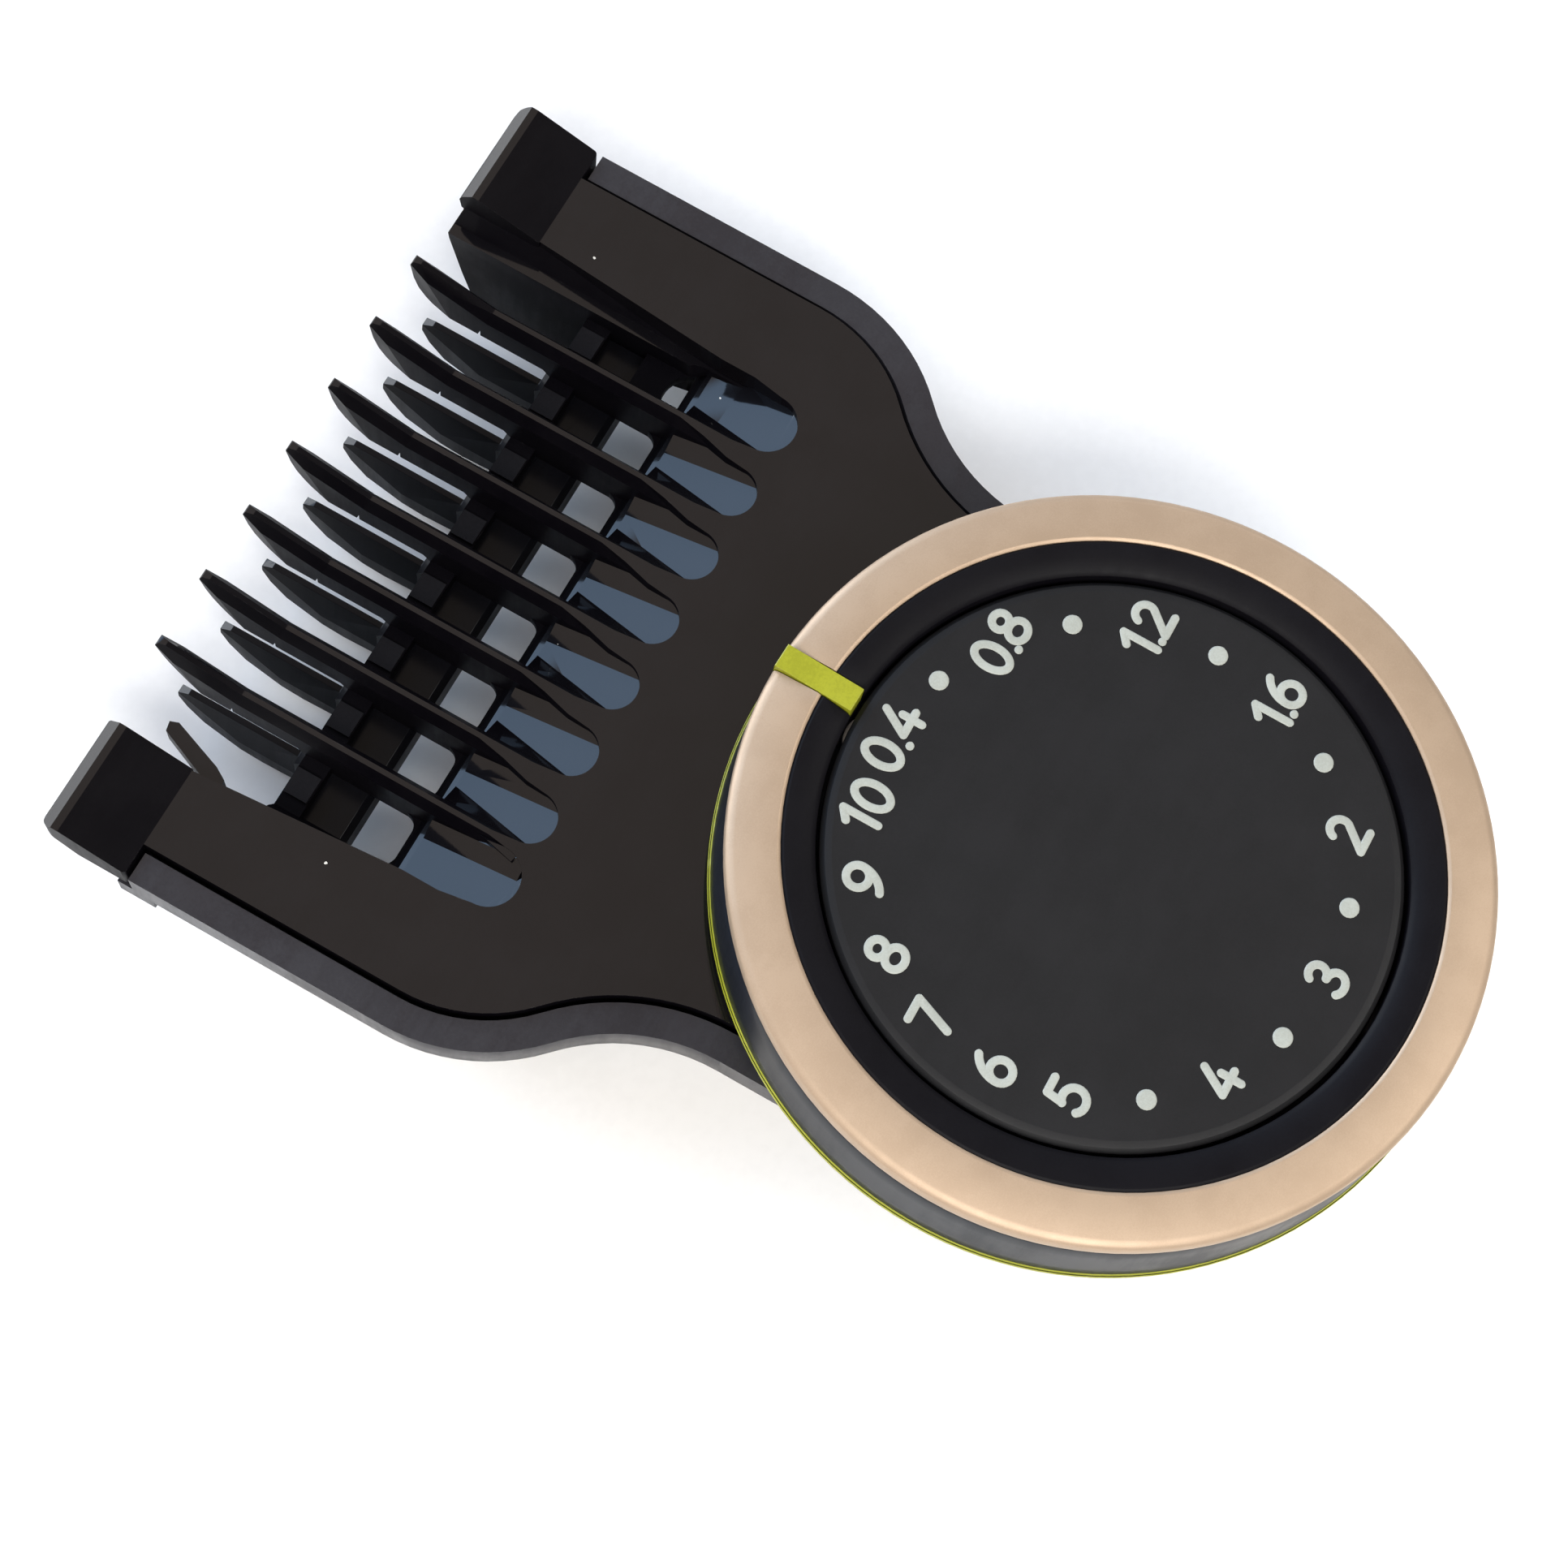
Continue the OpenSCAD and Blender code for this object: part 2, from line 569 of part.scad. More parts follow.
module comb_shell() {
    color("#1d1b1b") difference() {
        union() {
            translate([0, 0, plate_z]) linear_extrude(height = plate_t) difference() {
                union() {
                    head_plan(plate_in, bend_y + eps);
                    intersection() {
                        circle(r = hub_r - plate_in - 0.05);
                        translate([-5, -hub_r]) square([10, hub_r + 1]);
                    }
                }
                for (k = [-2.5 : 1 : 2.5]) slot_plan(k * pitch);
                // the two outer slots reach the arms
                for (s = [0, 1]) mirror([s, 0]) outer_slot();
                translate([0, -travel]) post_slot();
            }
            for (k = [-3 : 3]) fin(k * pitch);
            for (s = [0, 1]) mirror([s, 0, 0]) arm_cap();
            nose_wall();
            mirror([1, 0, 0]) arm_web(rib_y + rib_l);
            side_hook();
            // sloping floor behind the fins
            bar_x(-wall_x, wall_x) polygon([[slot_y - 0.6, plate_top - 0.1], [slot_y, plate_top - ramp_step],
                [slot_y + ramp_run, plate_top - ramp_h], [slot_y + ramp_run + 0.25, plate_top - ramp_h - 0.12],
                [slot_y + ramp_run + 0.6, plate_top - 2.75], [slot_y + ramp_run, plate_top - 2.8],
                [slot_y + 2.6, plate_top - 2.3], [slot_y - 0.6, plate_z]]);
            for (k = [-3 : 3]) fin_root(k * pitch);
            // shelf with the windows, and the rib for the stakes
            translate([0, 0, fin_z]) linear_extrude(height = 0.6) difference() {
                union() {
                    translate([-wall_x, slot_y + 3.6]) square([2 * wall_x, 2.8]);
                    translate([fin_half, slot_y + 5]) square([wall_x - fin_half, 3.4]);
                }
                for (k = [-3.5 : 1 : 2.5]) window_plan(k * pitch);
                translate([hollow_x, slot_y + 5.4]) intersection() {
                    circle(r = 1.4, $fn = 48);
                    translate([-2, 0.4]) square([4, 2]);
                }
            }
            bar_x(-wall_x, wall_x) translate([rib_y, fin_z]) square([rib_l, rib_t]);
        }
        translate([0, 0, fin_z - 1]) stake_places() cylinder(d = stake_d, h = 3, $fn = 32);
        translate([0, cam_start, plate_z - 1]) cylinder(d = pin_d, h = 4);
        translate([0, 0, plate_z - 1]) shoe_places() cylinder(d = 0.5, h = 1.9, $fn = 32);
    }
}

module outer_slot() {
    slot_x = pitch * 3.5 - 0.1;
    outer_r = 1.45;
    translate([slot_x, slot_y + outer_r]) circle(r = outer_r, $fn = 48);
    polygon([[slot_x - outer_r, slot_y + outer_r], [slot_x + outer_r, slot_y + outer_r], [arm_in - 0.85, slot_y + 3],
        [arm_in - 0.85, slot_y + 4.8], [arm_in, bend_y + 1], [fin_half + ridge_w / 2, bend_y + 1],
        [fin_half + ridge_w / 2, slot_y + 2.4]]);
}

module window_plan(x) {
    ww = pitch - fin_t;
    corner_r = 0.7;
    translate([x - ww / 2, slot_y + 5.8 + corner_r]) square([ww, 1.8]);
    translate([x - ww / 2 + corner_r, slot_y + 5.8]) square([ww - 2 * corner_r, 2]);
    for (s = [-1, 1]) translate([x + s * (ww / 2 - corner_r), slot_y + 5.8 + corner_r])
        circle(r = corner_r, $fn = 32);
}

module post_slot() {
    translate([-post_d / 2 - 0.1, 0]) square([post_d + 0.2, travel]);
    circle(d = post_d + 0.2);
    translate([0, travel]) circle(d = post_d + 0.2);
}

module stake_places() {
    for (k = [-3.5 : 1 : 3.5]) translate([k * pitch, rib_y + rib_l / 2, 0]) children();
}

module shoe_places() {
    for (s = [-1, 1]) for (y = [25.5, 32.5]) translate([s * (shoe_x + 0.42), y, 0]) children();
}

// side outline of a claw in y and z
module claw_side() {
    tip_z = plate_top - claw_drop;
    polygon([[rack_y, rack_z], [rack_y + 0.4, fin_z - 0.4], [rib_y + rib_l, fin_z - 0.4], [claw_y, mouth_bottom],
        [tip_y - 3.2, mouth_bottom], [tip_y - 0.95, tip_z + 0.3], [tip_y - 0.4, tip_z],
        [tip_y - 0.35, tip_z - 0.6], [tip_y - 0.75, tip_z - 1.5], [tip_y - 1.6, tip_z - 2.3],
        [bend_y - 0.6, tip_z - 2.7], [bend_y - 2.5, tip_z - 2.5], [rib_y + 1, rack_z - 0.7]]);
}

module claw(x) {
    translate([x, 0, 0]) intersection() {
        bar_x(-claw_t / 2, claw_t / 2) claw_side();
        // full width at the root, narrow along the top in front
        union() {
            translate([-claw_t, slot_y, -2]) cube([2 * claw_t, claw_y - slot_y, 20]);
            translate([0, tip_y + 1, mouth_bottom]) rotate([90, 0, 0]) linear_extrude(height = tip_y + 1.1 - claw_y)
                polygon([[-0.15, eps], [0.15, eps], [claw_t / 2, -1.7], [claw_t / 2, -8], [-claw_t / 2, -8],
                    [-claw_t / 2, -1.7]]);
        }
        translate([0, 0, -2]) linear_extrude(height = 20) polygon([[-claw_t, slot_y], [claw_t, slot_y],
            [claw_t / 2, bend_y + 0.6], [0.2, tip_y - 0.1], [-0.2, tip_y - 0.1],
            [-claw_t / 2, bend_y + 0.6]]);
    }
}

module claw_rack() {
    color("#16171b") difference() {
        union() {
            bar_x(-wall_x - 0.1, wall_x - 0.65) polygon([[rack_y, rack_z], [rib_y + rib_l, rack_z],
                [rib_y + rib_l, fin_z], [rack_y + 0.3, fin_z], [rack_y, fin_z - 0.3]]);
            for (k = [-3 : 3]) claw(k * pitch);
        }
        translate([0, 0, rack_z - 1]) stake_places() cylinder(d = stake_d, h = 4, $fn = 32);
    }
}

module rack_stakes() {
    color("#16171b") stake_places() {
        translate([0, 0, rack_z]) cylinder(d = stake_d, h = fin_z + rib_t + 0.1 - rack_z, $fn = 32);
        translate([-0.65, -0.6, fin_z + rib_t]) cube([1.3, 1.2, 0.2]);
    }
}

module follower_pin() {
    color("#b9bcc2") translate([0, cam_start, 0]) {
        translate([0, 0, plate_z - 0.3]) cylinder(r = 1.1, h = 0.3);
        translate([0, 0, plate_z - 0.1]) cylinder(d = pin_d, h = cam_z + groove_d - 0.3 - plate_z + 0.1);
    }
}

module follower_roller() {
    color("#e6e4da") translate([0, cam_start, plate_top + 0.02]) difference() {
        cylinder(d = roller_d, h = cam_z + groove_d - 0.3 - plate_top - 0.02);
        translate([0, 0, -1]) cylinder(d = pin_d + 0.02, h = 5);
    }
}

// hook under a ledge of the frame, drawn on the +X side
module shoe_body() {
    difference() {
        translate([0, head_y + shoe_l, 0]) rotate([90, 0, 0]) linear_extrude(height = shoe_l) polygon([[shoe_x, plate_z],
            [shoe_x, deck_z - 1.3], [shoe_x + 1.8, deck_z - 1.3], [shoe_x + 1.8, deck_z - 0.3],
            [ledge_in - 0.25, deck_z - 0.3], [ledge_in - 0.25, plate_z]]);
        translate([0, 0, plate_z - 1.4]) shoe_places() cylinder(d = 0.5, h = 3, $fn = 32);
    }
}

module guide_shoe_left() {
    color("#e6e4da") mirror([1, 0, 0]) shoe_body();
}

module guide_shoe_right() {
    color("#e6e4da") shoe_body();
}

module shoe_pins() {
    color("#8d8f94") translate([0, 0, plate_z - 1.4]) shoe_places() cylinder(d = 0.5, h = 2.3, $fn = 32);
}

base_frame();
rear_cover();
rear_screws();
hub_post();
hub_screws();
thrust_washer();
number_disc();
disc_screw();
click_spring();
clip_left();
clip_right();
knob_core();
bezel_ring();
trim_ring();
marker_ring();
cam_disc();
cam_screws();
comb_shell();
claw_rack();
rack_stakes();
follower_pin();
follower_roller();
guide_shoe_left();
guide_shoe_right();
shoe_pins();
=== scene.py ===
import math

import bpy
from mathutils import Matrix, Vector


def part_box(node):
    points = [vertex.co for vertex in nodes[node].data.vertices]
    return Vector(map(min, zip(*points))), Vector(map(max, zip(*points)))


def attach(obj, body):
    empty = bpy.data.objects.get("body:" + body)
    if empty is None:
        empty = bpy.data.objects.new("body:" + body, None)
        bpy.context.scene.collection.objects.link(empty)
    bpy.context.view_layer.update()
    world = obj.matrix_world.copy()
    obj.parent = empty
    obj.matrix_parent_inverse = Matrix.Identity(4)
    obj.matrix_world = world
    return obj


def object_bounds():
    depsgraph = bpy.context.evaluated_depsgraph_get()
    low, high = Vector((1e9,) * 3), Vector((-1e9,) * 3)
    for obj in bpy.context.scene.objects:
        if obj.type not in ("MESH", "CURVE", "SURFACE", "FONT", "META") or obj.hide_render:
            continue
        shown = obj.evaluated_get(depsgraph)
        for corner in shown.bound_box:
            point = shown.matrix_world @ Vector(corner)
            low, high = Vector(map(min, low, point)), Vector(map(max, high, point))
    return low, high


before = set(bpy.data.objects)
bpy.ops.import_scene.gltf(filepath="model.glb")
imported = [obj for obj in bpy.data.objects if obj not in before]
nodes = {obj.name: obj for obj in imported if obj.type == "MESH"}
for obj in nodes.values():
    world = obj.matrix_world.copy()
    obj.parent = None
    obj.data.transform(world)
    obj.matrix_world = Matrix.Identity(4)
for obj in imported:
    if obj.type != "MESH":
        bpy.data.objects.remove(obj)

mm = 0.001
cadLow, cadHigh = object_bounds()
discLow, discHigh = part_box("number_disc")
print("frame loaded:", len(nodes), "nodes")


# ---- shared effects, each a node group that gives masks and values only

def newGroup(name, inputs, outputs):
    group = bpy.data.node_groups.new(name, "ShaderNodeTree")
    for label, kind, value in inputs:
        socket = group.interface.new_socket(name=label, in_out="INPUT", socket_type=kind)
        if value is not None:
            socket.default_value = value
    for label, kind in outputs:
        group.interface.new_socket(name=label, in_out="OUTPUT", socket_type=kind)
    start = group.nodes.new("NodeGroupInput")
    end = group.nodes.new("NodeGroupOutput")
    return group, start, end


def mathNode(tree, operation, a, b=None, c=None, clamp=False):
    node = tree.nodes.new("ShaderNodeMath")
    node.operation = operation
    node.use_clamp = clamp
    for index, value in enumerate((a, b, c)):
        if value is None:
            continue
        if isinstance(value, (int, float)):
            node.inputs[index].default_value = value
        else:
            tree.links.new(value, node.inputs[index])
    return node.outputs[0]


def rangeNode(tree, value, fromLow, fromHigh, toLow, toHigh):
    node = tree.nodes.new("ShaderNodeMapRange")
    node.interpolation_type = "SMOOTHSTEP"
    tree.links.new(value, node.inputs["Value"])
    ends = {"From Min": fromLow, "From Max": fromHigh, "To Min": toLow, "To Max": toHigh}
    for label, number in ends.items():
        if isinstance(number, (int, float)):
            node.inputs[label].default_value = number
        else:
            tree.links.new(number, node.inputs[label])
    return node.outputs["Result"]


def noiseNode(tree, vector, scale, detail=3.0, roughness=0.5):
    node = tree.nodes.new("ShaderNodeTexNoise")
    node.inputs["Detail"].default_value = detail
    node.inputs["Roughness"].default_value = roughness
    tree.links.new(vector, node.inputs["Vector"])
    if isinstance(scale, (int, float)):
        node.inputs["Scale"].default_value = scale
    else:
        tree.links.new(scale, node.inputs["Scale"])
    return node.outputs["Fac"]


# fine moulded texture, with the size of its grain in millimetres
def buildGrain():
    group, start, end = newGroup(
        "mouldGrain",
        [("Vector", "NodeSocketVector", None), ("Size", "NodeSocketFloat", 0.1)],
        [("Height", "NodeSocketFloat"), ("Shade", "NodeSocketFloat")],
    )
    scale = mathNode(group, "DIVIDE", 1000.0, start.outputs["Size"])
    fine = noiseNode(group, start.outputs["Vector"], scale, 2.0, 0.6)
    coarse = noiseNode(group, start.outputs["Vector"], mathNode(group, "MULTIPLY", scale, 0.04), 3.0, 0.55)
    group.links.new(fine, end.inputs["Height"])
    fineShare = mathNode(group, "MULTIPLY", fine, 0.45)
    coarseShare = mathNode(group, "MULTIPLY", coarse, 0.55)
    shade = mathNode(group, "ADD", fineShare, coarseShare)
    group.links.new(rangeNode(group, shade, 0.38, 0.62, 0.0, 1.0), end.inputs["Shade"])
    return group


# broken wear along edges, found by comparing the rounded normal with the true one
def buildEdgeWear():
    group, start, end = newGroup(
        "edgeRub",
        [("Vector", "NodeSocketVector", None), ("Width", "NodeSocketFloat", 0.1),
         ("Reach", "NodeSocketFloat", 0.5)],
        [("Mask", "NodeSocketFloat")],
    )
    rounded = group.nodes.new("ShaderNodeBevel")
    rounded.samples = 4
    group.links.new(mathNode(group, "MULTIPLY", start.outputs["Width"], mm), rounded.inputs["Radius"])
    surface = group.nodes.new("ShaderNodeNewGeometry")
    dot = group.nodes.new("ShaderNodeVectorMath")
    dot.operation = "DOT_PRODUCT"
    group.links.new(rounded.outputs["Normal"], dot.inputs[0])
    group.links.new(surface.outputs["Normal"], dot.inputs[1])
    edge = mathNode(group, "SUBTRACT", 1.0, dot.outputs["Value"])
    edge = rangeNode(group, edge, 0.01, 0.16, 0.0, 1.0)
    patches = noiseNode(group, start.outputs["Vector"], 900.0, 4.0, 0.65)
    low = mathNode(group, "SUBTRACT", 0.75, mathNode(group, "MULTIPLY", start.outputs["Reach"], 0.5))
    broken = rangeNode(group, patches, low, mathNode(group, "ADD", low, 0.18), 0.0, 1.0)
    group.links.new(mathNode(group, "MULTIPLY", edge, broken, clamp=True), end.inputs["Mask"])
    return group


# a few pale lint specks on faces that look up
def buildLint():
    group, start, end = newGroup(
        "lintSpecks",
        [("Vector", "NodeSocketVector", None), ("Spacing", "NodeSocketFloat", 1.2),
         ("Share", "NodeSocketFloat", 0.1)],
        [("Mask", "NodeSocketFloat")],
    )
    warp = group.nodes.new("ShaderNodeTexNoise")
    warp.inputs["Scale"].default_value = 5200.0
    group.links.new(start.outputs["Vector"], warp.inputs["Vector"])
    nudge = group.nodes.new("ShaderNodeVectorMath")
    nudge.operation = "MULTIPLY_ADD"
    group.links.new(warp.outputs["Color"], nudge.inputs[0])
    nudge.inputs[1].default_value = (0.00012, 0.00012, 0.00012)
    group.links.new(start.outputs["Vector"], nudge.inputs[2])
    cells = group.nodes.new("ShaderNodeTexVoronoi")
    group.links.new(nudge.outputs["Vector"], cells.inputs["Vector"])
    group.links.new(mathNode(group, "DIVIDE", 1000.0, start.outputs["Spacing"]), cells.inputs["Scale"])
    split = group.nodes.new("ShaderNodeSeparateColor")
    group.links.new(cells.outputs["Color"], split.inputs["Color"])
    chosen = mathNode(group, "LESS_THAN", split.outputs["Red"], start.outputs["Share"])
    size = mathNode(group, "MULTIPLY_ADD", split.outputs["Green"], 0.05, 0.02)
    near = mathNode(group, "LESS_THAN", cells.outputs["Distance"], size)
    surface = group.nodes.new("ShaderNodeNewGeometry")
    parts = group.nodes.new("ShaderNodeSeparateXYZ")
    group.links.new(surface.outputs["Normal"], parts.inputs["Vector"])
    up = mathNode(group, "GREATER_THAN", parts.outputs["Z"], 0.6)
    speck = mathNode(group, "MULTIPLY", chosen, near)
    group.links.new(mathNode(group, "MULTIPLY", speck, up), end.inputs["Mask"])
    return group


# soft uneven haze from handling and wiping
def buildHaze():
    group, start, end = newGroup(
        "handlingHaze",
        [("Vector", "NodeSocketVector", None), ("Size", "NodeSocketFloat", 6.0)],
        [("Value", "NodeSocketFloat")],
    )
    scale = mathNode(group, "DIVIDE", 1000.0, start.outputs["Size"])
    wide = noiseNode(group, start.outputs["Vector"], scale, 5.0, 0.6)
    wipes = group.nodes.new("ShaderNodeMapping")
    wipes.inputs["Rotation"].default_value = (0.0, 0.0, 0.6)
    wipes.inputs["Scale"].default_value = (1.0, 9.0, 1.0)
    group.links.new(start.outputs["Vector"], wipes.inputs["Vector"])
    streaks = noiseNode(group, wipes.outputs["Vector"], scale, 4.0, 0.7)
    wideShare = mathNode(group, "MULTIPLY", wide, 0.7)
    streakShare = mathNode(group, "MULTIPLY", streaks, 0.3)
    both = mathNode(group, "ADD", wideShare, streakShare)
    group.links.new(rangeNode(group, both, 0.36, 0.66, 0.0, 1.0), end.inputs["Value"])
    return group


# polished where a face looks up, dull on the steep walls and below a given height
def buildPolish():
    group, start, end = newGroup(
        "mouldPolish",
        [("Vector", "NodeSocketVector", None), ("Steep", "NodeSocketFloat", 0.52),
         ("Flat", "NodeSocketFloat", 0.68), ("Wall", "NodeSocketFloat", 0.1), ("Top", "NodeSocketFloat", 1.0),
         ("Level", "NodeSocketFloat", 0.0), ("Fade", "NodeSocketFloat", 0.0002)],
        [("Weight", "NodeSocketFloat")],
    )
    surface = group.nodes.new("ShaderNodeNewGeometry")
    parts = group.nodes.new("ShaderNodeSeparateXYZ")
    group.links.new(surface.outputs["Normal"], parts.inputs["Vector"])
    facing = rangeNode(group, parts.outputs["Z"], start.outputs["Steep"], start.outputs["Flat"],
                       start.outputs["Wall"], start.outputs["Top"])
    spot = group.nodes.new("ShaderNodeSeparateXYZ")
    group.links.new(start.outputs["Vector"], spot.inputs["Vector"])
    top = mathNode(group, "ADD", start.outputs["Level"], start.outputs["Fade"])
    outer = rangeNode(group, spot.outputs["Z"], start.outputs["Level"], top, 0.0, 1.0)
    group.links.new(mathNode(group, "MULTIPLY", facing, outer), end.inputs["Weight"])
    return group


effects = {
    "polish": buildPolish(),
    "grain": buildGrain(),
    "rub": buildEdgeWear(),
    "lint": buildLint(),
    "haze": buildHaze(),
}
print("shared effects built:", ", ".join(effects))


# ---- finishes

def useEffect(tree, key, vector, values=None):
    node = tree.nodes.new("ShaderNodeGroup")
    node.node_tree = effects[key]
    tree.links.new(vector, node.inputs["Vector"])
    for label, number in (values or {}).items():
        node.inputs[label].default_value = number
    return node


def mixColour(tree, factor, first, second):
    node = tree.nodes.new("ShaderNodeMix")
    node.data_type = "RGBA"
    tree.links.new(factor, node.inputs["Factor"])
    for socket, value in ((node.inputs["A"], first), (node.inputs["B"], second)):
        if isinstance(value, tuple):
            socket.default_value = (*value, 1.0)
        else:
            tree.links.new(value, socket)
    return node.outputs["Result"]


# look of a lint speck
lintLook = {"colour": (0.55, 0.54, 0.5), "rough": 0.8}


# dark, light and worn are colours, and rough is the least and most roughness. Grain, hazeSize, rubWidth,
# bumpDepth and level are in millimetres. Polish is the coat's weight on walls and polishTop on top
# faces, above level only.
def makeFinish(name, look):
    material = bpy.data.materials.new(name)
    material.use_nodes = True
    tree = material.node_tree
    shader = tree.nodes["Principled BSDF"]
    place = tree.nodes.new("ShaderNodeTexCoord").outputs["Object"]
    grain = useEffect(tree, "grain", place, {"Size": look["grain"]})
    haze = useEffect(tree, "haze", place, {"Size": look.get("hazeSize", 6.0)})
    rub = useEffect(tree, "rub", place, {"Width": look.get("rubWidth", 0.12),
                                         "Reach": look.get("rubReach", 0.5)})
    colour = mixColour(tree, grain.outputs["Shade"], look["dark"], look["light"])
    colour = mixColour(tree, rub.outputs["Mask"], colour, look["worn"])
    roughness = rangeNode(tree, haze.outputs["Value"], 0.0, 1.0, *look["rough"])
    if look.get("lint"):
        lint = useEffect(tree, "lint", place, {"Share": look["lint"]})
        colour = mixColour(tree, lint.outputs["Mask"], colour, lintLook["colour"])
        lintRough = mathNode(tree, "MULTIPLY", lint.outputs["Mask"], lintLook["rough"])
        roughness = mathNode(tree, "MAXIMUM", roughness, lintRough)
    tree.links.new(colour, shader.inputs["Base Color"])
    tree.links.new(roughness, shader.inputs["Roughness"])
    bump = tree.nodes.new("ShaderNodeBump")
    bump.inputs["Strength"].default_value = look.get("bump", 0.3)
    bump.inputs["Distance"].default_value = look.get("bumpDepth", 0.01) * mm
    tree.links.new(grain.outputs["Height"], bump.inputs["Height"])
    tree.links.new(bump.outputs["Normal"], shader.inputs["Normal"])
    if "polish" in look:
        polish = useEffect(tree, "polish", place, {"Wall": look["polish"], "Top": look.get("polishTop", 1.0),
                                                    "Level": look.get("level", -9.0) * mm})
        tree.links.new(polish.outputs["Weight"], shader.inputs["Coat Weight"])
        shader.inputs["Coat Roughness"].default_value = look["coatRough"]
        shader.inputs["Coat IOR"].default_value = 1.5
        tree.links.new(bump.outputs["Normal"], shader.inputs["Coat Normal"])
    shader.inputs["Metallic"].default_value = look.get("metal", 0.0)
    shader.inputs["IOR"].default_value = look.get("ior", 1.5)
    shader.inputs["Specular IOR Level"].default_value = look.get("specular", 0.5)
    return material


finishes = {
    "glossShell": {"dark": (0.0016, 0.0013, 0.0022), "light": (0.0024, 0.002, 0.003),
                   "worn": (0.03, 0.03, 0.032),
                   "rough": (0.42, 0.55), "grain": 0.12, "bump": 0.12, "bumpDepth": 0.004, "lint": 0.05,
                   "rubReach": 0.3, "rubWidth": 0.08, "specular": 0.05,
                   "polish": 0.03, "coatRough": 0.07, "level": 6.12},
    "glossClaws": {"dark": (0.002, 0.002, 0.0032), "light": (0.003, 0.003, 0.0045),
                   "worn": (0.04, 0.04, 0.045),
                   "rough": (0.35, 0.5), "grain": 0.12, "bump": 0.15, "bumpDepth": 0.005, "rubReach": 0.3,
                   "specular": 0.06, "polish": 0.04, "polishTop": 0.3, "coatRough": 0.2},
    "dullStakes": {"dark": (0.003, 0.0027, 0.004), "light": (0.005, 0.0045, 0.006),
                   "worn": (0.03, 0.03, 0.033),
                   "rough": (0.55, 0.7), "grain": 0.12, "bump": 0.2, "bumpDepth": 0.005, "rubReach": 0.2,
                   "specular": 0.15},
    "satinRails": {"dark": (0.011, 0.010, 0.0135), "light": (0.016, 0.015, 0.019),
                   "worn": (0.06, 0.06, 0.065),
                   "rough": (0.36, 0.5), "grain": 0.14, "bump": 0.35, "bumpDepth": 0.008, "rubReach": 0.35},
    "matteCover": {"dark": (0.012, 0.012, 0.014), "light": (0.02, 0.02, 0.022), "worn": (0.07, 0.07, 0.075),
                   "rough": (0.5, 0.65), "grain": 0.2, "bump": 0.5, "bumpDepth": 0.015},
    "glossKnob": {"dark": (0.007, 0.0085, 0.012), "light": (0.010, 0.012, 0.017), "worn": (0.05, 0.05, 0.055),
                  "rough": (0.3, 0.4), "grain": 0.1, "bump": 0.1, "bumpDepth": 0.003, "rubReach": 0.3,
                  "ior": 1.22},
    "discFace": {"dark": (0.0062, 0.0062, 0.0068), "light": (0.0078, 0.0076, 0.0084),
                 "worn": (0.05, 0.05, 0.055),
                 "rough": (0.5, 0.58), "grain": 0.09, "bump": 0.5, "bumpDepth": 0.008, "rubReach": 0.3,
                 "hazeSize": 14.0, "specular": 0.26},
    "bezelPaint": {"dark": (0.0022, 0.0018, 0.003), "light": (0.003, 0.0026, 0.004),
                   "worn": (0.04, 0.04, 0.045),
                   "rough": (0.5, 0.6), "grain": 0.12, "bump": 0.3, "bumpDepth": 0.006, "rubReach": 0.25,
                   "specular": 0.12},
    "champagneTrim": {"dark": (0.39, 0.285, 0.195), "light": (0.42, 0.31, 0.215), "worn": (0.52, 0.43, 0.34),
                      "rough": (0.46, 0.52), "grain": 0.07, "bump": 0.4, "bumpDepth": 0.006, "metal": 0.45,
                      "rubReach": 0.3, "rubWidth": 0.06, "hazeSize": 5.0},
    "limeMarker": {"dark": (0.24, 0.25, 0.012), "light": (0.29, 0.30, 0.016), "worn": (0.6, 0.6, 0.2),
                   "rough": (0.3, 0.42), "grain": 0.12, "bump": 0.2, "bumpDepth": 0.005, "rubReach": 0.3},
    "numberInk": {"dark": (0.30, 0.315, 0.28), "light": (0.35, 0.37, 0.335), "worn": (0.5, 0.5, 0.48),
                  "rough": (0.45, 0.6), "grain": 0.08, "bump": 0.3, "bumpDepth": 0.006, "rubReach": 0.3},
    "turnedSteel": {"dark": (0.46, 0.47, 0.49), "light": (0.6, 0.61, 0.63), "worn": (0.78, 0.78, 0.79),
                    "rough": (0.22, 0.36), "grain": 0.08, "bump": 0.25, "bumpDepth": 0.004, "metal": 1.0},
    "springStrip": {"dark": (0.5, 0.5, 0.5), "light": (0.62, 0.61, 0.6), "worn": (0.8, 0.8, 0.8),
                    "rough": (0.28, 0.42), "grain": 0.3, "bump": 0.25, "bumpDepth": 0.004, "metal": 1.0},
    "slipNylon": {"dark": (0.62, 0.6, 0.53), "light": (0.7, 0.68, 0.61), "worn": (0.8, 0.79, 0.75),
                  "rough": (0.38, 0.5), "grain": 0.18, "bump": 0.25, "bumpDepth": 0.006},
    "clipPlastic": {"dark": (0.17, 0.17, 0.175), "light": (0.23, 0.23, 0.235), "worn": (0.4, 0.4, 0.4),
                    "rough": (0.4, 0.52), "grain": 0.16, "bump": 0.3, "bumpDepth": 0.008},
}
materials = {name: makeFinish(name, look) for name, look in finishes.items()}
print("finishes made:", len(materials))


# ---- moulded parts from the frame: finish and rounded edges in millimetres

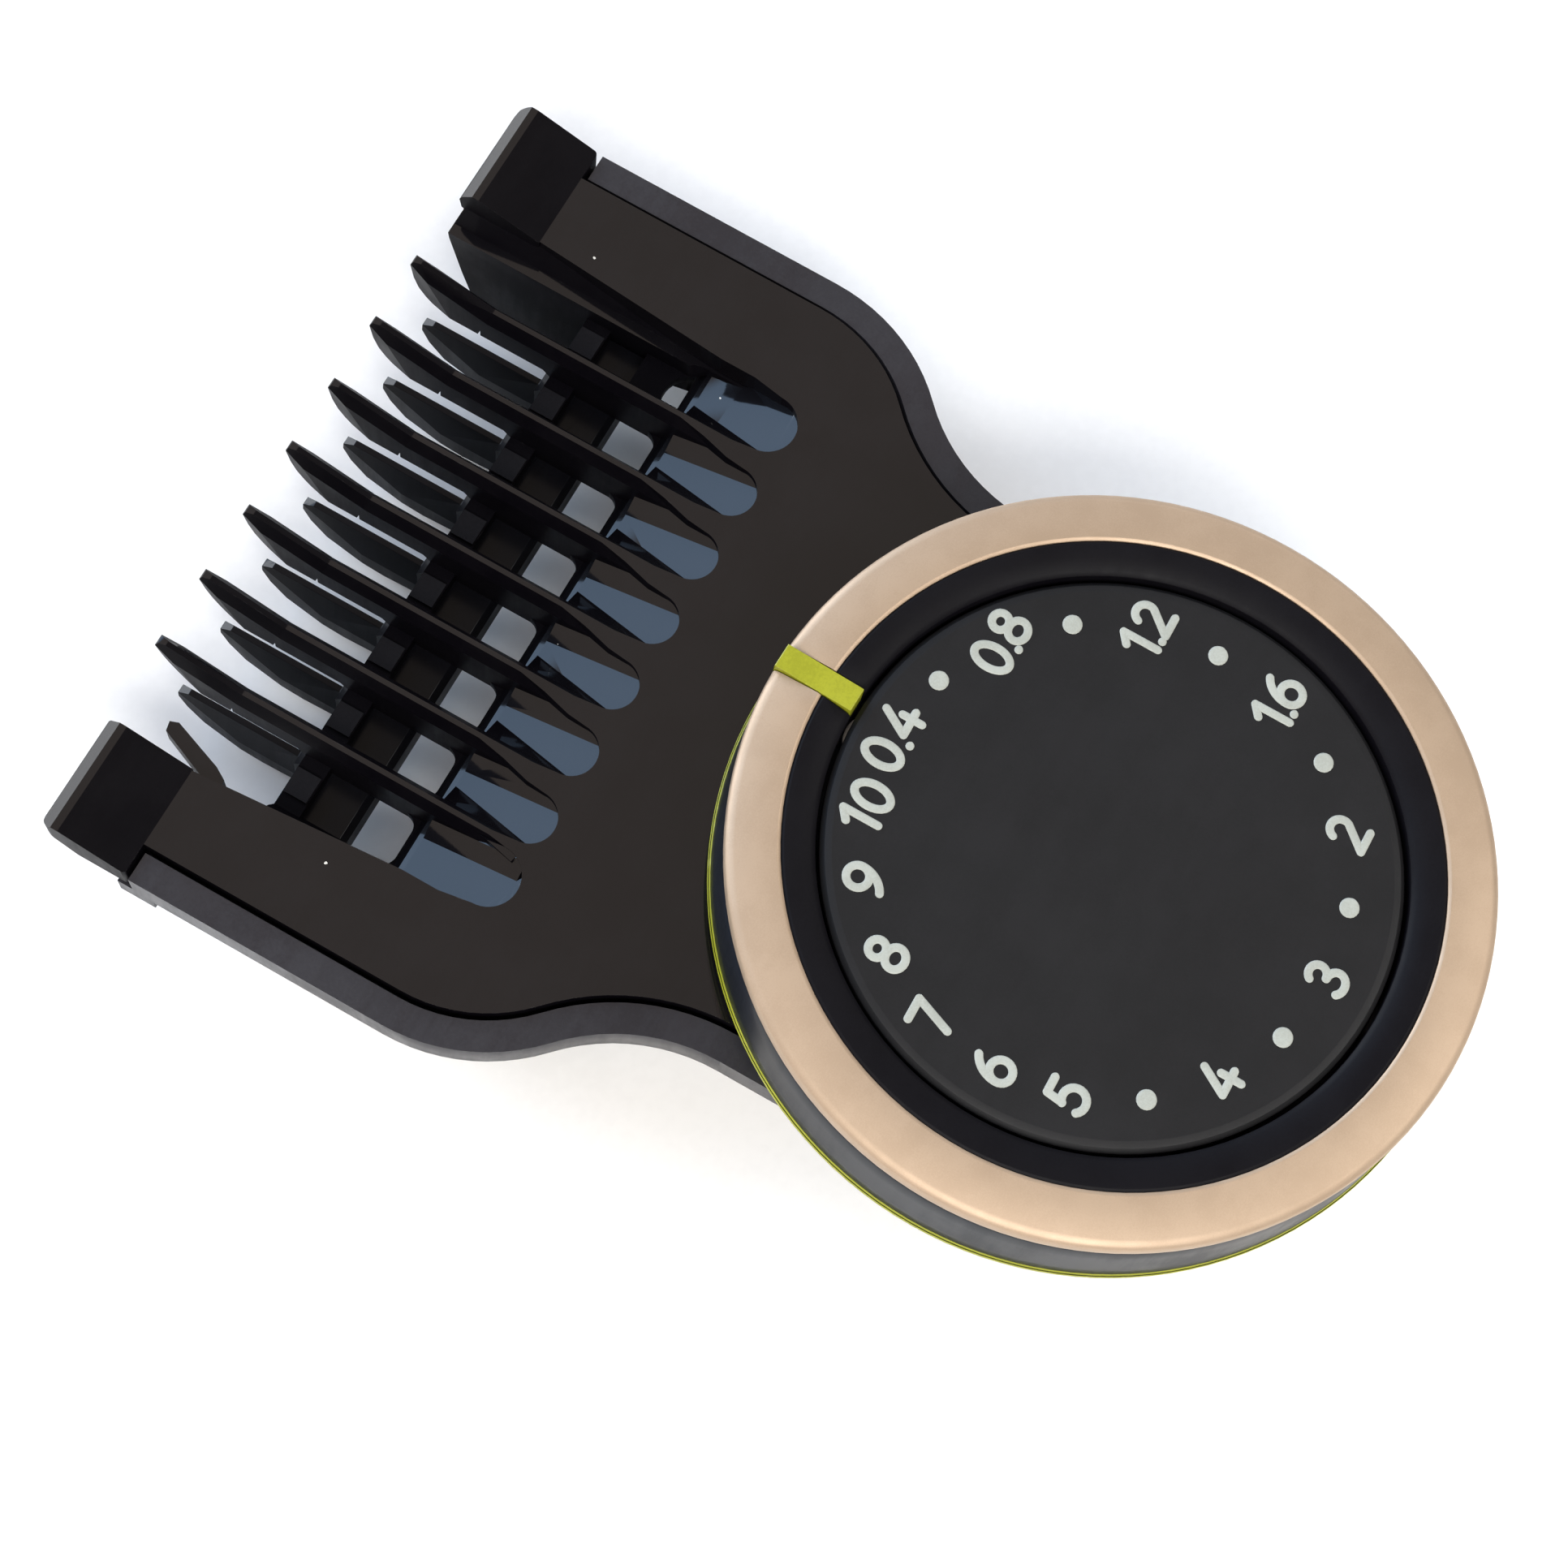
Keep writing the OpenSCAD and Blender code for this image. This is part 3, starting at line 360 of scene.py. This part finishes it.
partFinish = {
    "base_frame": ("satinRails", 0.12),
    "rear_cover": ("matteCover", 0.12),
    "rear_screws": ("turnedSteel", 0.04),
    "hub_post": ("turnedSteel", 0.05),
    "hub_screws": ("turnedSteel", 0.03),
    "thrust_washer": ("slipNylon", 0.03),
    "number_disc": ("discFace", 0.05),
    "disc_screw": ("turnedSteel", 0.03),
    "click_spring": ("springStrip", 0.02),
    "clip_left": ("clipPlastic", 0.06),
    "clip_right": ("clipPlastic", 0.06),
    "knob_core": ("glossKnob", 0.05),
    "bezel_ring": ("bezelPaint", 0.04),
    "trim_ring": ("champagneTrim", 0.05),
    "marker_ring": ("limeMarker", 0.05),
    "cam_disc": ("slipNylon", 0.05),
    "cam_screws": ("turnedSteel", 0.03),
    "comb_shell": ("glossShell", 0.07),
    "claw_rack": ("glossClaws", 0.09),
    "rack_stakes": ("dullStakes", 0.06),
    "follower_pin": ("turnedSteel", 0.03),
    "follower_roller": ("slipNylon", 0.03),
    "guide_shoe_left": ("slipNylon", 0.08),
    "guide_shoe_right": ("slipNylon", 0.08),
    "shoe_pins": ("turnedSteel", 0.02),
}


edgeRounding = {
    "weld": 0.0005,   # distance in millimetres under which seam points are joined
    "segments": 2,
    "sharp": 28,      # angle in degrees from which an edge is rounded
}


def roundEdges(part, width):
    weld = part.modifiers.new("joinSeams", "WELD")
    weld.merge_threshold = edgeRounding["weld"] * mm
    edge = part.modifiers.new("softEdges", "BEVEL")
    edge.width = width * mm
    edge.segments = edgeRounding["segments"]
    edge.limit_method = "ANGLE"
    edge.angle_limit = math.radians(edgeRounding["sharp"])
    edge.use_clamp_overlap = True
    edge.harden_normals = True


for name, (finish, width) in partFinish.items():
    part = nodes[name]
    for slot in part.material_slots:
        slot.material = materials[finish]
    roundEdges(part, width)
print("moulded parts finished:", len(partFinish))


# ---- printed numbers and dots on the fixed disc

printing = {
    "height": 2.05,       # height of a numeral
    "stroke": 0.38,       # width of the print's lines
    "raised": 0.035,      # height of the print above the disc
    "sunk": 0.03,         # depth of its foot in the disc
    "radius": 10.47,      # centre of each label from the dial axis
    "step": 18.0,         # degrees from one label to the next
    "dot": 0.44,          # radius of a dot between numbers
    "gap": 0.13,          # space between the signs of a label
    "point": 0.29,        # space left for a decimal point
    "tiny": 0.01,         # half length of the stroke that makes a dot or a point
    "offset": (-0.05, 0.28),  # the print sits slightly off the dial axis
}
labels = ["0.4", "dot", "0.8", "dot", "1.2", "dot", "1.6", "dot", "2", "dot",
          "3", "dot", "4", "dot", "5", "6", "7", "8", "9", "10"]


def arc(cx, cy, rx, ry, start, end, steps=18):
    turn = [math.radians(start + (end - start) * k / steps) for k in range(steps + 1)]
    return [(cx + rx * math.cos(a), cy + ry * math.sin(a)) for a in turn]


# centre lines of the strokes of each numeral, and the numeral's half width
def numeralStrokes(sign):
    top = (printing["height"] - printing["stroke"]) / 2
    tiny = printing["tiny"]
    shapes = {
        "0": (0.5, [arc(0, 0, 0.5, top, 90, 450, 40)]),
        "1": (0.24, [[(0.2, -top), (0.2, top)], [(0.2, top), (-0.26, top - 0.36)]]),
        "2": (0.48, [arc(0, top - 0.46, 0.45, 0.46, 160, -28) + [(-0.46, -top)],
                     [(-0.46, -top), (0.5, -top)]]),
        "3": (0.45, [arc(-0.05, top - 0.4, 0.42, 0.4, 145, -90),
                     arc(-0.05, -top + 0.43, 0.5, 0.43, 90, -148)]),
        "4": (0.56, [[(0.16, top), (-0.54, -0.36)], [(-0.54, -0.36), (0.6, -0.36)],
                     [(0.26, 0.1), (0.26, -top)]]),
        "5": (0.46, [[(0.42, top), (-0.3, top)], [(-0.3, top), (-0.38, 0.1)],
                     arc(-0.06, -top + 0.53, 0.53, 0.53, 130, -145)]),
        "6": (0.49, [arc(0, -top + 0.5, 0.49, 0.5, 0, 360, 28),
                     arc(0.62, -top + 0.5, 1.11, 1.24, 180, 112, 12)]),
        "7": (0.48, [[(-0.5, top), (0.5, top)], [(0.5, top), (-0.14, -top)]]),
        "8": (0.48, [arc(0, top - 0.38, 0.4, 0.38, 0, 360, 26),
                     arc(0, -top + 0.43, 0.49, 0.43, 0, 360, 28)]),
        "9": (0.49, [arc(0, top - 0.5, 0.49, 0.5, 0, 360, 28),
                     arc(-0.62, top - 0.5, 1.11, 1.24, 0, -68, 12)]),
        ".": (0.02, [[(-tiny, -top), (tiny, -top)]]),
    }
    return shapes[sign]


# one raised stroke with round ends: a low dome swept along its centre line
def addStroke(points, width, placeX, placeY, verts, faces):
    half = width / 2
    closed = math.dist(points[0], points[-1]) < 1e-6 and len(points) > 3
    rows = []
    for index, point in enumerate(points):
        before = points[index - 1] if index else (points[-2] if closed else point)
        after = points[index + 1] if index + 1 < len(points) else (points[1] if closed else point)
        way = Vector((after[0] - before[0], after[1] - before[1])).normalized()
        rows.append((Vector(point), way, half))
    if not closed:
        startPoint, startWay = rows[0][:2]
        endPoint, endWay = rows[-1][:2]
        turns = [math.radians(a) for a in (80, 60, 40, 20)]
        head = [(startPoint - startWay * half * math.sin(a), startWay, half * math.cos(a)) for a in turns]
        tail = [(endPoint + endWay * half * math.sin(a), endWay, half * math.cos(a)) for a in turns]
        rows = head + rows + tail[::-1]
    profile = [(-1, -printing["sunk"]), (-1, 0)]
    for angle in (25, 50, 90, 130, 155):
        a = math.radians(angle)
        profile.append((-math.cos(a), printing["raised"] * math.sin(a) ** 0.6))
    profile += [(1, 0), (1, -printing["sunk"])]
    first = len(verts)
    count = len(profile)
    for centre, way, reach in rows:
        side = Vector((-way.y, way.x))
        for across, up in profile:
            spot = centre + side * across * reach
            verts.append(((spot.x + placeX) * mm, (spot.y + placeY) * mm, discHigh.z + up * mm))
    for row in range(len(rows) - 1):
        for k in range(count):
            a = first + row * count + k
            b = first + row * count + (k + 1) % count
            faces.append((a, b, b + count, a + count))
    if not closed:
        faces.append(tuple(first + k for k in range(count))[::-1])
        faces.append(tuple(first + (len(rows) - 1) * count + k for k in range(count)))


def makeLabel(order, text):
    turn = math.radians(90 - printing["step"] * order)
    centreX = printing["radius"] * math.cos(turn) + printing["offset"][0]
    centreY = printing["radius"] * math.sin(turn) + printing["offset"][1]
    verts, faces = [], []
    if text == "dot":
        width = 2 * printing["dot"]
        tiny = printing["tiny"]
        addStroke([(-tiny, 0), (tiny, 0)], width, centreX, centreY, verts, faces)
    else:
        places, cursor = [], 0.0
        for sign in text:
            half, strokes = numeralStrokes(sign)
            if sign == ".":
                places.append((cursor - printing["gap"] / 2 + printing["point"] / 2, strokes))
                cursor += printing["point"] - printing["gap"]
                continue
            places.append((cursor + half + printing["stroke"] / 2, strokes))
            cursor += 2 * half + printing["stroke"] + printing["gap"]
        shift = (cursor - printing["gap"]) / 2
        for middle, strokes in places:
            for stroke in strokes:
                addStroke(stroke, printing["stroke"], centreX + middle - shift, centreY, verts, faces)
    mesh = bpy.data.meshes.new(f"label_{order:02d}")
    mesh.from_pydata(verts, [], faces)
    mesh.validate()
    mesh.shade_smooth()
    label = bpy.data.objects.new(f"label_{order:02d}", mesh)
    bpy.context.scene.collection.objects.link(label)
    mesh.materials.append(materials["numberInk"])
    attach(label, "base")
    return label


for order, text in enumerate(labels):
    makeLabel(order, text)
print("numbers and dots printed:", len(labels))


# ---- floor, light and camera

# half its width and its drop under the part in metres, and its grain in millimetres
stage = {"half": 1.6, "under": 0.0001, "dark": (0.87, 0.865, 0.855), "light": (0.895, 0.89, 0.88),
         "grain": 0.6, "rough": 0.9}


def makeFloor():
    size, ground = stage["half"], cadLow.z - stage["under"]
    corners = [(-size, -size, ground), (size, -size, ground), (size, size, ground), (-size, size, ground)]
    mesh = bpy.data.meshes.new("floor")
    mesh.from_pydata(corners, [], [(0, 1, 2, 3)])
    floor = bpy.data.objects.new("floor", mesh)
    bpy.context.scene.collection.objects.link(floor)
    paper = bpy.data.materials.new("palePaper")
    paper.use_nodes = True
    tree = paper.node_tree
    place = tree.nodes.new("ShaderNodeTexCoord").outputs["Object"]
    grain = useEffect(tree, "grain", place, {"Size": stage["grain"]})
    shader = tree.nodes["Principled BSDF"]
    colour = mixColour(tree, grain.outputs["Shade"], stage["dark"], stage["light"])
    tree.links.new(colour, shader.inputs["Base Color"])
    shader.inputs["Roughness"].default_value = stage["rough"]
    mesh.materials.append(paper)
    return floor


# the room: dim behind and at the right, warm overhead, bright and cool toward the teeth
room = {"behind": (0.04, 0.036, 0.036), "above": (0.60, 0.51, 0.44), "ahead": (1.5, 2.15, 3.1),
        "right": (0.09, 0.08, 0.085), "strength": 1.0}


def makeRoom():
    world = bpy.data.worlds.new("softRoom")
    bpy.context.scene.world = world
    world.use_nodes = True
    tree = world.node_tree
    place = tree.nodes.new("ShaderNodeTexCoord")
    split = tree.nodes.new("ShaderNodeSeparateXYZ")
    tree.links.new(place.outputs["Generated"], split.inputs["Vector"])
    low = rangeNode(tree, split.outputs["Y"], -0.32, 0.1, 0.0, 1.0)
    high = rangeNode(tree, split.outputs["Y"], 0.5, 0.64, 0.0, 1.0)
    high = mathNode(tree, "MULTIPLY", high, rangeNode(tree, split.outputs["X"], -0.45, -0.1, 0.0, 1.0))
    colour = mixColour(tree, low, room["behind"], room["above"])
    colour = mixColour(tree, high, colour, room["ahead"])
    right = rangeNode(tree, split.outputs["X"], 0.55, 0.9, 0.0, 1.0)
    colour = mixColour(tree, right, colour, room["right"])
    tree.links.new(colour, tree.nodes["Background"].inputs["Color"])
    tree.nodes["Background"].inputs["Strength"].default_value = room["strength"]


def makePanel(name, azimuth, elevation, distance, size, power, colour):
    data = bpy.data.lights.new(name, "AREA")
    data.shape = "RECTANGLE"
    data.size, data.size_y = size
    data.energy = power
    data.color = colour
    panel = bpy.data.objects.new(name, data)
    bpy.context.scene.collection.objects.link(panel)
    a, e = math.radians(azimuth), math.radians(elevation)
    away = Vector((math.sin(a) * math.cos(e), -math.cos(a) * math.cos(e), math.sin(e)))
    middle = (cadLow + cadHigh) / 2
    panel.location = middle + away * distance
    panel.rotation_mode = "QUATERNION"
    panel.rotation_quaternion = (-away).to_track_quat("-Z", "Y")
    return panel


# name, azimuth and elevation in degrees, distance and size in metres, power in watts, colour
panels = [
    ("panelLeft", -64, 48, 0.6, (0.42, 0.3), 4.4, (1.0, 0.985, 0.96)),
    ("panelBack", 20, 44, 0.6, (0.4, 0.2), 1.6, (1.0, 0.98, 0.95)),
    ("panelRight", 90, 24, 0.6, (0.4, 0.14), 0.5, (1.0, 0.99, 0.97)),
    ("panelAhead", 165, 15, 0.6, (0.5, 0.16), 2.2, (1.0, 0.985, 0.96)),
]

# where the camera looks from, in degrees and millimetres
cameraPlace = {"azimuth": -76.4, "elevation": 72.6, "roll": 16.2, "target": (-2.3, 14.2, 8.5),
               "distance": 134.1, "lens": 69.24}


def makeCamera():
    data = bpy.data.cameras.new("camera")
    data.sensor_width = 36.0
    data.lens = cameraPlace["lens"]
    data.clip_start, data.clip_end = 0.005, 10.0
    camera = bpy.data.objects.new("camera", data)
    bpy.context.scene.collection.objects.link(camera)
    a, e = math.radians(cameraPlace["azimuth"]), math.radians(cameraPlace["elevation"])
    back = Vector((math.sin(a) * math.cos(e), -math.cos(a) * math.cos(e), math.sin(e)))
    flat = Vector((0, 0, 1)).cross(back).normalized()
    turn = math.radians(cameraPlace["roll"])
    right = flat * math.cos(turn) + back.cross(flat) * math.sin(turn)
    up = back.cross(right)
    place = Vector(cameraPlace["target"]) * mm + back * cameraPlace["distance"] * mm
    camera.matrix_world = Matrix((
        (right.x, up.x, back.x, place.x),
        (right.y, up.y, back.y, place.y),
        (right.z, up.z, back.z, place.z),
        (0, 0, 0, 1),
    ))
    bpy.context.scene.camera = camera


makeFloor()
makeRoom()
for panel in panels:
    makePanel(*panel)
makeCamera()
bpy.context.scene.view_settings.view_transform = "Standard"
print("floor, light and camera set")
